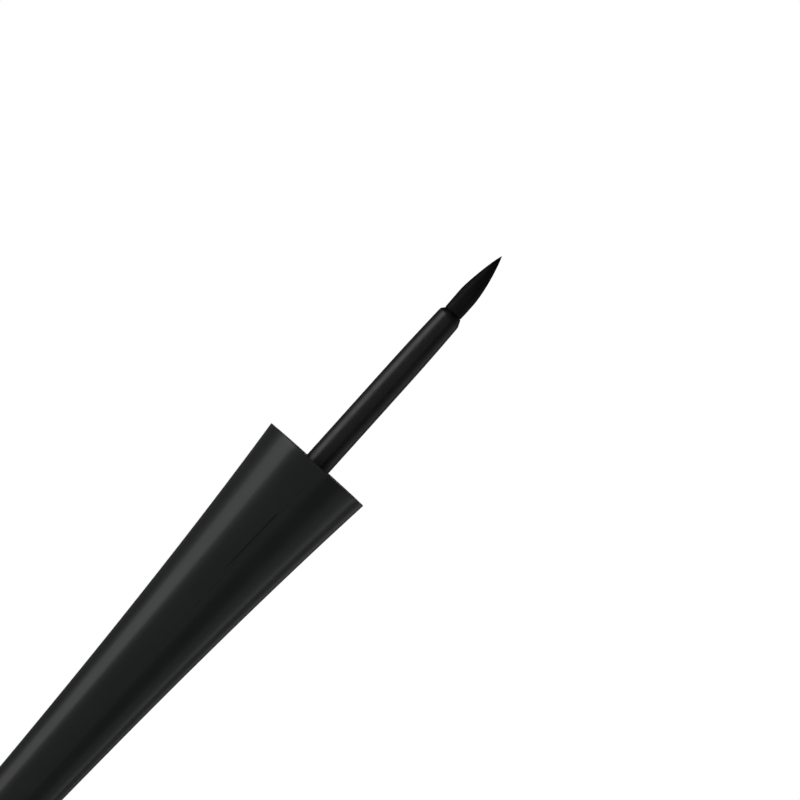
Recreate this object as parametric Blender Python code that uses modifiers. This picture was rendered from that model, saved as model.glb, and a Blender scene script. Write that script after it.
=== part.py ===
"""Liquid eyeliner: a bell-shaped bottle, and above it the flared screw cap that carries the brush."""

import math
import random

import bmesh
import bpy
from mathutils import Vector

MM = 0.001

# Outline of the cap, from its rim to its slim tail
RIM_DIAMETER = 14.1 * MM
SLIM_DIAMETER = 3.9 * MM
FLARE_LENGTH = 51.2 * MM
CAP_LENGTH = 75.0 * MM
CAP_DOME = 1.6 * MM
CAP_WALL = 0.9 * MM
CAP_TAIL_WALL = 4.0 * MM
EDGE_ROUND = 0.15 * MM

# Bottle
SHOULDER_HEIGHT = 36.5 * MM
BASE_DIAMETER = 17.6 * MM
BASE_ROUND = 0.5 * MM
SLEEVE_WALL = 1.0 * MM
SLEEVE_TOP = 1.0 * MM
LAND_GAP = 0.4 * MM
LAND_CHAMFER = 0.1 * MM
PLUG_THICKNESS = 1.8 * MM
PLUG_DISH = 0.6 * MM
PLUG_RING = 2.2 * MM
PLUG_CHAMFER = 0.3 * MM

# Vial and its threaded neck
VIAL_WALL = 0.9 * MM
VIAL_FLOOR = 1.0 * MM
VIAL_CORNER = 1.2 * MM
NECK_DIAMETER = 7.4 * MM
NECK_BORE = 5.8 * MM
NECK_HEIGHT = 7.5 * MM
NECK_EDGE = 0.2 * MM

# Screw thread, a round ridge on the neck and another in the cap
THREAD_PITCH = 2.4 * MM
THREAD_RIDGE = 0.55 * MM
THREAD_START = 1.3 * MM
NECK_TURNS = 2.0
CAP_TURNS = 1.5
THREAD_CLEARANCE = 0.2 * MM
THREAD_FADE_TURNS = 0.25
THREAD_END_SHARE = 0.25

# Wiper in the neck, and the ball in the vial
WIPER_FLANGE = 0.5 * MM
WIPER_FLANGE_DIAMETER = 6.8 * MM
WIPER_WALL = 0.55 * MM
WIPER_TUBE = 5.5 * MM
WIPER_CONE = 2.0 * MM
WIPER_LIP = 0.7 * MM
WIPER_CLEARANCE = 0.1 * MM
BALL_DIAMETER = 3.0 * MM

# Inner cap and sealing ring
INNER_CAP_SETBACK = 0.6 * MM
CEILING = 1.2 * MM
LINER_THICKNESS = 1.0 * MM
BOSS_DIAMETER = 5.2 * MM
BOSS_HEIGHT = 6.65 * MM

# Stem, measured downwards from the rim where it shows
STEM_DIAMETER = 3.26 * MM
STEM_END_DIAMETER = 3.0 * MM
STEM_MOUTH_DIAMETER = 2.3 * MM
STEM_REACH = 23.05 * MM
STEM_TAPER = 9.3 * MM
STEM_NOSE = 0.65 * MM
STEM_COLLAR = 0.75 * MM
STEM_COLLAR_DIAMETER = 4.4 * MM
STEM_ROOT = 6.0 * MM
STEM_ROOT_DIAMETER = 2.5 * MM
STEM_BARB = 0.2 * MM
BARB_COUNT = 3

# Brush and the flat wire that anchors it in the end of the stem
TUFT_DIAMETER = 2.36 * MM
TUFT_LENGTH = 8.65 * MM
TUFT_ROOT = 2.0 * MM
TUFT_ROOT_DIAMETER = 1.75 * MM
TUFT_BEAD = 0.25 * MM
TUFT_BEAD_DIAMETER = 2.24 * MM
TUFT_BEND = 0.12 * MM
# Belly, waist and tip: share of the length, and of the widest radius
TUFT_STAGES = ((0.35, 0.98), (0.68, 0.61), (0.99, 0.06))
STRAND_SECTORS = 5
STRAND_ROWS = 8
STRAND_GAP = 0.022 * MM
STRAND_SHORTER = 0.25
STRAND_UNEVEN = 0.12
STAPLE_HEIGHT = 0.9 * MM
STAPLE_WIDTH = 1.4 * MM
STAPLE_THICKNESS = 0.3 * MM
STAPLE_EDGE = 0.06 * MM

# Fits: between pressed pieces, under the rim of the closed cap, and above the neck with the brush drawn
SEAT_GAP = 0.15 * MM
CLOSED_GAP = 0.3 * MM
BALL_GAP = 0.4 * MM
DRAWN_GAP = 46.1 * MM

# Facets of the turned pieces
ROUND_STEPS = 32
SLIM_STEPS = 24
FLARE_STEPS = 10
WALL_STEPS = 5
ARC_STEPS = 3
THREAD_STEPS = 20

# Heights that follow
NECK_TOP = SHOULDER_HEIGHT + NECK_HEIGHT
CLOSED_RIM = SHOULDER_HEIGHT + CLOSED_GAP
LAND_TOP = CLOSED_RIM + INNER_CAP_SETBACK - LAND_GAP
BRUSH_REACH = STEM_REACH + TUFT_LENGTH
DRAWN_RIM = NECK_TOP + DRAWN_GAP + BRUSH_REACH
LIFT_TRAVEL = DRAWN_RIM - CLOSED_RIM
VIAL_BOTTOM = PLUG_THICKNESS + SEAT_GAP
VIAL_TOP = SHOULDER_HEIGHT - SLEEVE_TOP - SEAT_GAP
VIAL_INSIDE_FLOOR = VIAL_BOTTOM + VIAL_FLOOR
VIAL_INSIDE_TOP = VIAL_TOP - VIAL_WALL
WIPER_TOP = NECK_TOP + SEAT_GAP + WIPER_FLANGE
LINER_FLOOR = WIPER_TOP + SEAT_GAP - CLOSED_RIM
CEILING_UNDERSIDE = LINER_FLOOR + LINER_THICKNESS + SEAT_GAP
CEILING_TOP = CEILING_UNDERSIDE + CEILING
BALL_REST = VIAL_INSIDE_FLOOR + SEAT_GAP + BALL_DIAMETER / 2
BALL_TRAVEL = VIAL_INSIDE_TOP - SEAT_GAP - BALL_DIAMETER / 2 - BALL_REST
BALL_OFFSET = (BALL_DIAMETER + STEM_DIAMETER) / 2 + BALL_GAP

# Radii that follow
STEM_RADIUS = STEM_DIAMETER / 2
NECK_RADIUS = NECK_DIAMETER / 2
THREAD_RADIUS = NECK_RADIUS + THREAD_RIDGE
LAND_RADIUS = RIM_DIAMETER / 2 - CAP_WALL - SEAT_GAP
WIPER_RADIUS = NECK_BORE / 2 - SEAT_GAP
ORIFICE_RADIUS = STEM_RADIUS + WIPER_CLEARANCE
CAP_THREAD_RADIUS = THREAD_RADIUS + THREAD_CLEARANCE
LINER_RADIUS = CAP_THREAD_RADIUS - SEAT_GAP
STEM_SOCKET_RADIUS = STEM_ROOT_DIAMETER / 2 + STEM_BARB + SEAT_GAP
TUFT_HOLE_RADIUS = TUFT_ROOT_DIAMETER / 2 + SEAT_GAP / 2


def cap_radius(above_rim):
    """Outer radius of the cap, a flare that dies away towards the slim tail."""
    spread = (RIM_DIAMETER - SLIM_DIAMETER) * math.exp(-above_rim / FLARE_LENGTH)
    return (SLIM_DIAMETER + spread) / 2


def sleeve_radius(height):
    """Outer radius of the bottle, in line with the cap at the shoulder and upright at the base."""
    share = 1 - height / SHOULDER_HEIGHT
    return (RIM_DIAMETER + (BASE_DIAMETER - RIM_DIAMETER) * share * (2 - share)) / 2


def vial_radius(height):
    return sleeve_radius(height) - SLEEVE_WALL - SEAT_GAP


def outline(radius_at, start, end, steps=WALL_STEPS, inset=0.0):
    """Points (radius, height) down or up a curved wall."""
    heights = [start + (end - start) * i / steps for i in range(steps + 1)]
    return [(radius_at(height) - inset, height) for height in heights]


def arc(centre, radius, start, end, steps=ARC_STEPS):
    """Points (radius, height) of a rounded corner, between two angles in degrees."""
    angles = [math.radians(start + (end - start) * i / steps) for i in range(steps + 1)]
    return [(centre[0] + radius * math.cos(a), centre[1] + radius * math.sin(a)) for a in angles]


def make_material(name, colour, roughness, metallic=0.0):
    material = bpy.data.materials.new(name)
    material.use_nodes = True
    shader = material.node_tree.nodes["Principled BSDF"]
    shader.inputs["Base Color"].default_value = (*colour, 1.0)
    shader.inputs["Roughness"].default_value = roughness
    shader.inputs["Metallic"].default_value = metallic
    material.diffuse_color = (*colour, 1.0)
    return material


def add_object(name, mesh, collection, material=None, parent=None):
    piece = bpy.data.objects.new(name, mesh)
    collection.objects.link(piece)
    if material:
        mesh.materials.append(material)
    piece.parent = parent
    return piece


def add_empty(name, height, parent=None):
    empty = bpy.data.objects.new(name, None)
    empty.empty_display_size = RIM_DIAMETER
    empty.parent = parent
    empty.location.z = height
    parts.objects.link(empty)
    return empty


def turned(name, profile, material, parent=None, closed=False, steps=ROUND_STEPS):
    """A profile of (radius, height) turned about Z. Its outer side runs downwards, so that faces point out."""
    mesh = bpy.data.meshes.new(name)
    count = len(profile)
    edges = [(i, (i + 1) % count) for i in range(count if closed else count - 1)]
    mesh.from_pydata([(radius, 0.0, height) for radius, height in profile], edges, [])
    piece = add_object(name, mesh, parts, material, parent)
    screw = piece.modifiers.new("turn", "SCREW")
    screw.steps = screw.render_steps = steps
    screw.use_merge_vertices = True
    screw.merge_threshold = 0.001 * MM
    screw.use_smooth_shade = True
    return piece


def thread_ridge(name, radius, start, turns, parent=None):
    """A helper mesh: one round ridge that winds up to the right, fading out at both ends."""
    curve = bpy.data.curves.new(name, "CURVE")
    curve.dimensions = "3D"
    curve.bevel_depth = THREAD_RIDGE
    curve.bevel_resolution = 1
    curve.use_fill_caps = True
    spline = curve.splines.new("POLY")
    last = round(turns * THREAD_STEPS)
    spline.points.add(last)
    fade_steps = THREAD_STEPS * THREAD_FADE_TURNS
    for i, point in enumerate(spline.points):
        angle = 2 * math.pi * i / THREAD_STEPS
        height = start + THREAD_PITCH * i / THREAD_STEPS
        point.co = (radius * math.cos(angle), radius * math.sin(angle), height, 1.0)
        point.radius = min(1.0, THREAD_END_SHARE + min(i, last - i) / fade_steps)
    source = add_object(name + "_curve", curve, helpers)
    bpy.context.view_layer.update()
    evaluated = source.evaluated_get(bpy.context.evaluated_depsgraph_get())
    mesh = bpy.data.meshes.new_from_object(evaluated)
    bpy.data.objects.remove(source)
    welded = bmesh.new()
    welded.from_mesh(mesh)
    bmesh.ops.remove_doubles(welded, verts=welded.verts, dist=0.0001 * MM)
    bmesh.ops.recalc_face_normals(welded, faces=welded.faces)
    welded.to_mesh(mesh)
    welded.free()
    ridge = add_object(name, mesh, helpers, parent=parent)
    ridge.hide_render = True
    ridge.display_type = "WIRE"
    return ridge


def join_ridge(piece, ridge):
    union = piece.modifiers.new("thread", "BOOLEAN")
    union.operation = "UNION"
    union.solver = "EXACT"
    union.object = ridge


def limit_height(piece, lowest, highest):
    """Keeps a moving piece within its travel when it is dragged along Z."""
    limit = piece.constraints.new("LIMIT_LOCATION")
    limit.use_min_z = limit.use_max_z = True
    limit.use_transform_limit = True
    limit.owner_space = "LOCAL"
    limit.min_z, limit.max_z = lowest, highest


def bottle_sleeve(material):
    """Outer shell, open below for the vial. A low land on its shoulder centres the rim of the cap."""
    corner = (RIM_DIAMETER / 2 - EDGE_ROUND, SHOULDER_HEIGHT - EDGE_ROUND)
    foot = (sleeve_radius(0.0) - BASE_ROUND, BASE_ROUND)
    hole = THREAD_RADIUS + SEAT_GAP
    profile = [(hole, LAND_TOP), (LAND_RADIUS - LAND_CHAMFER, LAND_TOP)]
    profile += [(LAND_RADIUS, LAND_TOP - LAND_CHAMFER), (LAND_RADIUS, SHOULDER_HEIGHT)]
    profile += arc(corner, EDGE_ROUND, 90, 0)
    profile += outline(sleeve_radius, SHOULDER_HEIGHT - 2 * EDGE_ROUND, 2 * BASE_ROUND)
    profile += arc(foot, BASE_ROUND, 0, -90)
    profile += outline(sleeve_radius, 0.0, SHOULDER_HEIGHT - SLEEVE_TOP, inset=SLEEVE_WALL)
    profile += [(hole, SHOULDER_HEIGHT - SLEEVE_TOP)]
    return turned("bottle_sleeve", profile, material, closed=True)


def base_plug(material):
    """Disc pressed into the foot of the sleeve, dished above so that the vial bears on its ring."""
    radius = sleeve_radius(0.0) - SLEEVE_WALL - SEAT_GAP
    dish = radius - PLUG_RING
    profile = [(0.0, PLUG_THICKNESS - PLUG_DISH), (dish - PLUG_DISH, PLUG_THICKNESS - PLUG_DISH)]
    profile += [(dish, PLUG_THICKNESS), (radius - PLUG_CHAMFER, PLUG_THICKNESS)]
    profile += [(radius, PLUG_THICKNESS - PLUG_CHAMFER), (radius, PLUG_CHAMFER / 2)]
    profile += [(radius - PLUG_CHAMFER / 2, 0.0), (0.0, 0.0)]
    return turned("base_plug", profile, material)


def ink_vial(material):
    """Inner bottle that holds the ink. The root of its threaded neck fills the hole in the sleeve."""
    inside = vial_radius(VIAL_INSIDE_FLOOR) - VIAL_WALL
    shoulder = vial_radius(VIAL_TOP) - VIAL_CORNER
    inner_round = VIAL_CORNER - VIAL_WALL / 2
    ceiling = vial_radius(VIAL_INSIDE_TOP) - VIAL_WALL - inner_round
    foot = vial_radius(VIAL_BOTTOM) - VIAL_CORNER
    profile = [(0.0, VIAL_INSIDE_FLOOR)]
    profile += arc((inside - VIAL_CORNER, VIAL_INSIDE_FLOOR + VIAL_CORNER), VIAL_CORNER, -90, 0)
    low, high = VIAL_INSIDE_FLOOR + 2 * VIAL_CORNER, VIAL_INSIDE_TOP - 2 * inner_round
    profile += outline(vial_radius, low, high, inset=VIAL_WALL)
    profile += arc((ceiling, VIAL_INSIDE_TOP - inner_round), inner_round, 0, 90)
    profile += [(NECK_BORE / 2, VIAL_INSIDE_TOP), (NECK_BORE / 2, NECK_TOP - NECK_EDGE)]
    profile += [(NECK_BORE / 2 + NECK_EDGE, NECK_TOP), (NECK_RADIUS - NECK_EDGE, NECK_TOP)]
    profile += [(NECK_RADIUS, NECK_TOP - NECK_EDGE), (NECK_RADIUS, LAND_TOP)]
    profile += [(THREAD_RADIUS, LAND_TOP), (THREAD_RADIUS, VIAL_TOP)]
    profile += arc((shoulder, VIAL_TOP - VIAL_CORNER), VIAL_CORNER, 90, 0)
    profile += outline(vial_radius, VIAL_TOP - 2 * VIAL_CORNER, VIAL_BOTTOM + 2 * VIAL_CORNER)
    profile += arc((foot, VIAL_BOTTOM + VIAL_CORNER), VIAL_CORNER, 0, -90)
    profile += [(0.0, VIAL_BOTTOM)]
    vial = turned("ink_vial", profile, material)
    ridge = thread_ridge("neck_thread", NECK_RADIUS, SHOULDER_HEIGHT + THREAD_START, NECK_TURNS)
    join_ridge(vial, ridge)
    return vial


def wiper(material):
    """Soft bush in the neck: a flange on the lip, a tube, and a cone that strips ink off the stem."""
    flange = NECK_TOP + SEAT_GAP
    cone = NECK_TOP - WIPER_TUBE
    lip = cone - WIPER_CONE
    bore = WIPER_RADIUS - WIPER_WALL
    nose = ORIFICE_RADIUS + WIPER_WALL
    profile = [(bore, WIPER_TOP), (WIPER_FLANGE_DIAMETER / 2 - EDGE_ROUND, WIPER_TOP)]
    profile += [(WIPER_FLANGE_DIAMETER / 2, WIPER_TOP - EDGE_ROUND), (WIPER_FLANGE_DIAMETER / 2, flange)]
    profile += [(WIPER_RADIUS, flange), (WIPER_RADIUS, cone), (nose, lip), (nose, lip - WIPER_LIP)]
    profile += [(ORIFICE_RADIUS, lip - WIPER_LIP), (ORIFICE_RADIUS, lip), (bore, cone)]
    return turned("wiper", profile, material, closed=True)


def mixing_ball(material):
    """Steel ball that stirs the ink when the bottle is shaken. It lies beside the path of the brush."""
    mesh = bpy.data.meshes.new("mixing_ball")
    sphere = bmesh.new()
    bmesh.ops.create_uvsphere(sphere, u_segments=20, v_segments=12, radius=BALL_DIAMETER / 2)
    sphere.to_mesh(mesh)
    sphere.free()
    mesh.shade_smooth()
    ball = add_object("mixing_ball", mesh, parts, material)
    ball.location = (BALL_OFFSET, 0.0, BALL_REST)
    limit_height(ball, BALL_REST, BALL_REST + BALL_TRAVEL)
    return ball


def seal_liner(material, parent):
    """Soft ring under the ceiling of the inner cap, which seals on the wiper's flange when shut."""
    inner = STEM_COLLAR_DIAMETER / 2 + SEAT_GAP
    top = LINER_FLOOR + LINER_THICKNESS
    profile = [(inner, top), (LINER_RADIUS, top), (LINER_RADIUS, LINER_FLOOR), (inner, LINER_FLOOR)]
    return turned("seal_liner", profile, material, parent, closed=True)


def cap_shell(material, parent):
    """The long flared handle, moulded as one thin hollow shell with a rounded tail."""
    tail = CAP_LENGTH - CAP_DOME
    bore_end = CAP_LENGTH - CAP_TAIL_WALL
    dome = arc((0.0, 0.0), 1.0, 90, 0, WALL_STEPS)
    profile = [(cap_radius(tail) * across, tail + CAP_DOME * up) for across, up in dome]
    profile += outline(cap_radius, tail, EDGE_ROUND, FLARE_STEPS)[1:]
    profile += [(cap_radius(0.0) - EDGE_ROUND, 0.0), (cap_radius(0.0) - CAP_WALL, 0.0)]
    profile += outline(cap_radius, EDGE_ROUND, bore_end, FLARE_STEPS, CAP_WALL)
    profile += [(0.0, bore_end)]
    return turned("cap_shell", profile, material, parent)


def inner_cap(material, parent):
    """Threaded insert pressed up into the rim, with a boss above its ceiling that grips the stem."""
    boss = BOSS_DIAMETER / 2
    boss_top = CEILING_TOP + BOSS_HEIGHT
    socket_top = CEILING_UNDERSIDE + STEM_ROOT + SEAT_GAP
    skin = CAP_WALL + SEAT_GAP
    profile = [(0.0, boss_top), (boss - EDGE_ROUND, boss_top), (boss, boss_top - EDGE_ROUND)]
    profile += [(boss, CEILING_TOP)]
    profile += outline(cap_radius, CEILING_TOP, INNER_CAP_SETBACK, inset=skin)
    profile += [(CAP_THREAD_RADIUS, INNER_CAP_SETBACK), (CAP_THREAD_RADIUS, CEILING_UNDERSIDE)]
    profile += [(STEM_SOCKET_RADIUS, CEILING_UNDERSIDE), (STEM_SOCKET_RADIUS, socket_top)]
    profile += [(0.0, socket_top)]
    insert = turned("inner_cap", profile, material, parent)
    start = SHOULDER_HEIGHT + THREAD_START + THREAD_PITCH / 2 - CLOSED_RIM
    join_ridge(insert, thread_ridge("cap_thread", CAP_THREAD_RADIUS, start, CAP_TURNS, parent))
    return insert


def stem_radius(above_rim):
    """The stem is straight, then thins over its last stretch, below the rim."""
    share = max(0.0, (STEM_TAPER - STEM_REACH - above_rim) / (STEM_TAPER - STEM_NOSE))
    return (STEM_DIAMETER - (STEM_DIAMETER - STEM_END_DIAMETER) * share**2) / 2


def applicator_stem(material, parent):
    """Rod with a barbed root in the boss, a collar under the ceiling, and a socket for the brush."""
    root = STEM_ROOT_DIAMETER / 2
    root_top = CEILING_UNDERSIDE + STEM_ROOT
    collar_top = CEILING_UNDERSIDE - SEAT_GAP
    collar = STEM_COLLAR_DIAMETER / 2
    barb_rise = STEM_ROOT / (BARB_COUNT + 1)
    mouth = STEM_MOUTH_DIAMETER / 2
    profile = [(0.0, root_top), (root, root_top)]
    for i in range(BARB_COUNT):
        foot = root_top - barb_rise * (i + 1)
        profile += [(root + STEM_BARB, foot), (root, foot)]
    profile += [(root, collar_top), (collar, collar_top), (collar, collar_top - STEM_COLLAR)]
    profile += [(STEM_RADIUS, collar_top - STEM_COLLAR), (STEM_RADIUS, STEM_TAPER - STEM_REACH)]
    profile += outline(stem_radius, STEM_TAPER - STEM_REACH, STEM_NOSE - STEM_REACH)[1:]
    profile += [(mouth, -STEM_REACH), (TUFT_HOLE_RADIUS, -STEM_REACH)]
    hole_end = TUFT_ROOT + 2 * SEAT_GAP + STAPLE_HEIGHT - STEM_REACH
    profile += [(TUFT_HOLE_RADIUS, hole_end), (0.0, hole_end)]
    return turned("applicator_stem", profile, material, parent, steps=SLIM_STEPS)


def anchor_staple(material, parent):
    """Flat wire set across the bottom of the socket, which holds the root of the brush."""
    mesh = bpy.data.meshes.new("anchor_staple")
    wire = bmesh.new()
    bmesh.ops.create_cube(wire, size=1.0)
    bmesh.ops.scale(wire, verts=wire.verts, vec=(STAPLE_WIDTH, STAPLE_THICKNESS, STAPLE_HEIGHT))
    bmesh.ops.bevel(
        wire, geom=wire.edges, offset=STAPLE_EDGE, segments=1, profile=0.5, affect="EDGES", material=-1
    )
    wire.to_mesh(mesh)
    wire.free()
    staple = add_object("anchor_staple", mesh, parts, material, parent)
    staple.location.z = TUFT_ROOT + SEAT_GAP + STAPLE_HEIGHT / 2 - STEM_REACH
    return staple


def rounded_to_disc(point, radius):
    """Moves a point of the many-sided disc of unit radius, which has a corner on +Y, onto a round one."""
    sector = 2 * math.pi / STRAND_SECTORS
    angle = math.atan2(point.x, point.y) % sector - sector / 2
    row = math.hypot(point.x, point.y) * math.cos(angle) / math.cos(sector / 2)
    flat = Vector((point.x, point.y, 0.0))
    return flat.normalized() * row * radius


def ring_below(mesh, edges, radius, height):
    """Extrudes the open edge of the root to a new ring, and returns its edges."""
    made = bmesh.ops.extrude_edge_only(mesh, edges=edges)["geom"]
    for vert in [item for item in made if isinstance(item, bmesh.types.BMVert)]:
        flat = Vector((vert.co.x, vert.co.y, 0.0)).normalized() * radius
        vert.co = (flat.x, flat.y, height)
    return [item for item in made if isinstance(item, bmesh.types.BMEdge) and item.is_boundary]


def brush_tuft(material, parent):
    """Filaments bound at the root and drawn to a point by the ink, each following the flame outline."""
    mesh = bmesh.new()
    bmesh.ops.create_circle(mesh, cap_ends=True, cap_tris=True, segments=STRAND_SECTORS, radius=1.0)
    bmesh.ops.subdivide_edges(mesh, edges=mesh.edges[:], cuts=STRAND_ROWS - 1, use_grid_fill=True)
    widest, bead = TUFT_DIAMETER / 2 / MM, TUFT_BEAD_DIAMETER / 2 / MM
    length, root = TUFT_LENGTH / MM, TUFT_ROOT_DIAMETER / 2 / MM
    for vert in mesh.verts:
        vert.co = rounded_to_disc(vert.co, bead)
        vert.co.z = -TUFT_BEAD / MM
    bmesh.ops.recalc_face_normals(mesh, faces=mesh.faces)
    if mesh.faces[0].normal.z > 0:
        bmesh.ops.reverse_faces(mesh, faces=mesh.faces)
    strands = mesh.faces[:]
    edge = [e for e in mesh.edges if e.is_boundary]
    edge = ring_below(mesh, edge, root, -SEAT_GAP / MM / 2)
    edge = ring_below(mesh, edge, root, TUFT_ROOT / MM)
    bmesh.ops.holes_fill(mesh, edges=edge, sides=0)
    bmesh.ops.inset_individual(mesh, faces=strands, thickness=STRAND_GAP / MM / 2, use_even_offset=True)
    before, bend_before = bead, 0.0
    order = random.Random(7)
    waist_along, waist_share = TUFT_STAGES[-2]
    for along, share in TUFT_STAGES:
        strands = bmesh.ops.extrude_discrete_faces(mesh, faces=strands)["faces"]
        for face in strands:
            place, radius = along, share * widest
            if along == TUFT_STAGES[-1][0]:
                # Outer filaments end sooner, along the same cone, so that none cross
                outward = face.calc_center_median().to_2d().length / before
                early = STRAND_SHORTER * outward + STRAND_UNEVEN * order.random()
                place = along - (along - waist_along) * early
                radius = widest * (share + (waist_share - share) * early)
            bend = TUFT_BEND / MM * place**3
            for vert in face.verts:
                vert.co.x = (vert.co.x - bend_before) * radius / before + bend
                vert.co.y *= radius / before
                vert.co.z = -length * place
        before, bend_before = share * widest, TUFT_BEND / MM * along**3
    bmesh.ops.recalc_face_normals(mesh, faces=mesh.faces)
    bmesh.ops.scale(mesh, verts=mesh.verts, vec=(MM, MM, MM))
    data = bpy.data.meshes.new("brush_tuft")
    mesh.to_mesh(data)
    mesh.free()
    tuft = add_object("brush_tuft", data, parts, material, parent)
    tuft.location.z = -STEM_REACH
    return tuft


for old in list(bpy.data.objects):
    bpy.data.objects.remove(old)

parts = bpy.data.collections.new("liquid_eyeliner")
helpers = bpy.data.collections.new("helpers")
for group in (parts, helpers):
    bpy.context.scene.collection.children.link(group)

satin_black = make_material("satin_black", (0.012, 0.013, 0.012), 0.38)
smooth_black = make_material("smooth_black", (0.010, 0.010, 0.010), 0.30)
natural_plastic = make_material("natural_plastic", (0.55, 0.56, 0.54), 0.35)
soft_plastic = make_material("soft_plastic", (0.70, 0.70, 0.67), 0.50)
foam = make_material("foam", (0.78, 0.78, 0.75), 0.80)
steel = make_material("steel", (0.60, 0.60, 0.60), 0.22, metallic=1.0)
filament_black = make_material("filament_black", (0.006, 0.006, 0.006), 0.60)

bottle_sleeve(satin_black)
base_plug(smooth_black)
ink_vial(natural_plastic)
wiper(soft_plastic)
mixing_ball(steel)

lift_axis = add_empty("applicator_lift_axis", DRAWN_RIM)
limit_height(lift_axis, DRAWN_RIM - LIFT_TRAVEL, DRAWN_RIM)
turn_axis = add_empty("cap_turn_axis", 0.0, parent=lift_axis)
seal_liner(foam, lift_axis)
cap_shell(satin_black, turn_axis)
inner_cap(smooth_black, turn_axis)
applicator_stem(smooth_black, turn_axis)
anchor_staple(steel, turn_axis)
brush_tuft(filament_black, turn_axis)

for piece in parts.objects:
    if piece.type == "MESH":
        piece.data.set_sharp_from_angle(angle=math.radians(30))
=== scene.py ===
"""Looks of a liquid eyeliner: a satin black bottle and, drawn out above it, its cap and brush.

Sizes are in mm and angles in degrees. Each piece is shaped in mm and turned into metres at its end.
"""

import math
import random

import bmesh
import bpy
from mathutils import Matrix, Quaternion, Vector


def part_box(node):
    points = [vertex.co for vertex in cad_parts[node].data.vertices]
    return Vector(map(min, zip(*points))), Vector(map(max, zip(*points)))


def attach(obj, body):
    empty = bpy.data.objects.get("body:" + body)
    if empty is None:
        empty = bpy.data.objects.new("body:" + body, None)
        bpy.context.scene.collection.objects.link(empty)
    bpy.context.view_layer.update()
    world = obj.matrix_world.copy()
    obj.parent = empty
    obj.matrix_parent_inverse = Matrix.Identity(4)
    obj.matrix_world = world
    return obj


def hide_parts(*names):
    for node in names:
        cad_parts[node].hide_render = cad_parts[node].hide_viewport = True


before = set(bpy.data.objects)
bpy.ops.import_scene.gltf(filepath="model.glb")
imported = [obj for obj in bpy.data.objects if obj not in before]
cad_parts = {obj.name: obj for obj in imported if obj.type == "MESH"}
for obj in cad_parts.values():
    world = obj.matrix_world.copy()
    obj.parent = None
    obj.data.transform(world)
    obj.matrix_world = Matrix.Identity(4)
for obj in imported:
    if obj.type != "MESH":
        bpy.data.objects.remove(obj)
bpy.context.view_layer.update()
MM = 0.001


# The view: exactly side-on and level with the applicator, from far off through a long lens, so
# that nothing tapers towards the back. The camera is rolled until the brush points up and right.
VIEW_WIDTH = 91.05
LENS = 400.0
SENSOR = 36.0
STEM_SLOPE = 48.03
AIM_ACROSS = -2.09
AIM_BELOW_RIM = 11.73

cap_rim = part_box("cap_shell")[0][2] / MM
camera = bpy.data.objects.new("camera", bpy.data.cameras.new("camera"))
camera.data.lens = LENS
camera.data.sensor_width = SENSOR
camera.location = Vector((AIM_ACROSS, -VIEW_WIDTH * LENS / SENSOR, cap_rim - AIM_BELOW_RIM)) * MM
camera.rotation_euler = (math.radians(90), math.radians(90 + STEM_SLOPE), 0.0)
bpy.context.scene.collection.objects.link(camera)
bpy.context.scene.camera = camera


# Bottle sleeve: the outer shell of the bottle, one thin moulding of satin black plastic. Its wall
# carries on the flare of the cap down to an upright foot, and a hair line marks the mould's joint.
# A low land stands on its shoulder, round the neck, and centres the rim of the closed cap.
LAND_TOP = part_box("bottle_sleeve")[1][2] / MM
LAND_HEIGHT = 0.5
LAND_RADIUS = 6.0
LAND_ROUND = 0.1
SHOULDER = LAND_TOP - LAND_HEIGHT
SHOULDER_ROUND = 0.2
RIM_RADIUS = 7.05
FOOT_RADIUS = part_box("bottle_sleeve")[1][0] / MM
FOOT_ROUND = 0.5
FOOT_INNER_ROUND = 0.1
FOOT_WORN_AT = 0.4
SLEEVE_WALL = 1.0
THREAD_RADIUS = 4.25
SEAT_GAP = 0.15
JOINT_TURN = 6.0
JOINT_WIDTH = 0.07
JOINT_DEPTH = 0.02
JOINT_MARGIN = 0.1

WALL_STEPS = 32
TURN_STEPS = 128
SHARP_ANGLE = 35.0
SAME_SPOT = 0.0005
SAME_RING = 0.003
ON_THE_CUT = 0.001
CUT_SNAP = 0.0001
FACING_OUT = 0.7

BLACK_SHADE = (0.0084, 0.0100, 0.0094, 1.0)
BLACK_LIGHT = (0.0104, 0.0121, 0.0113, 1.0)
BLACK_WORN = (0.020, 0.021, 0.020, 1.0)
BLACK_MOTTLE = 7.0
SCUFF_SIZE = 0.9
WEAR_REACH = 0.45
WEAR_CORE = 0.02
WEAR_TINT = 0.35
WEAR_POLISH = 0.75
HANDLED_PATCH = 11.0
SATIN_ROUGHNESS = (0.36, 0.46)
SATIN_GLOSS = 0.2
SATIN_COAT = 0.75
SATIN_COAT_ROUGHNESS = 0.17
GRAIN_SIZE = 0.11
GRAIN_DEPTH = 0.0012
DRAW_LINE_SIZE = 0.35
DRAW_LINE_DEPTH = 0.0010
DRAW_LINE_STRETCH = 0.06
BLACK_IOR = 1.46
NOISE_MIDDLE = (0.35, 0.65)


def turn(profile, steps=TURN_STEPS):
    """Spins (radius, height) points about the common axis into a closed shape."""
    shape = bmesh.new()
    points = [shape.verts.new((radius, 0.0, height)) for radius, height in profile]
    if profile[0][0] > 0:
        points.append(points[0])
    for here, there in zip(points, points[1:]):
        shape.edges.new((here, there))
    section = shape.verts[:] + shape.edges[:]
    axis = {"cent": (0, 0, 0), "axis": (0, 0, 1), "angle": math.tau}
    bmesh.ops.spin(shape, geom=section, steps=steps, use_merge=True, **axis)
    bmesh.ops.remove_doubles(shape, verts=shape.verts, dist=SAME_SPOT)
    bmesh.ops.recalc_face_normals(shape, faces=shape.faces)
    return shape


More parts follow.
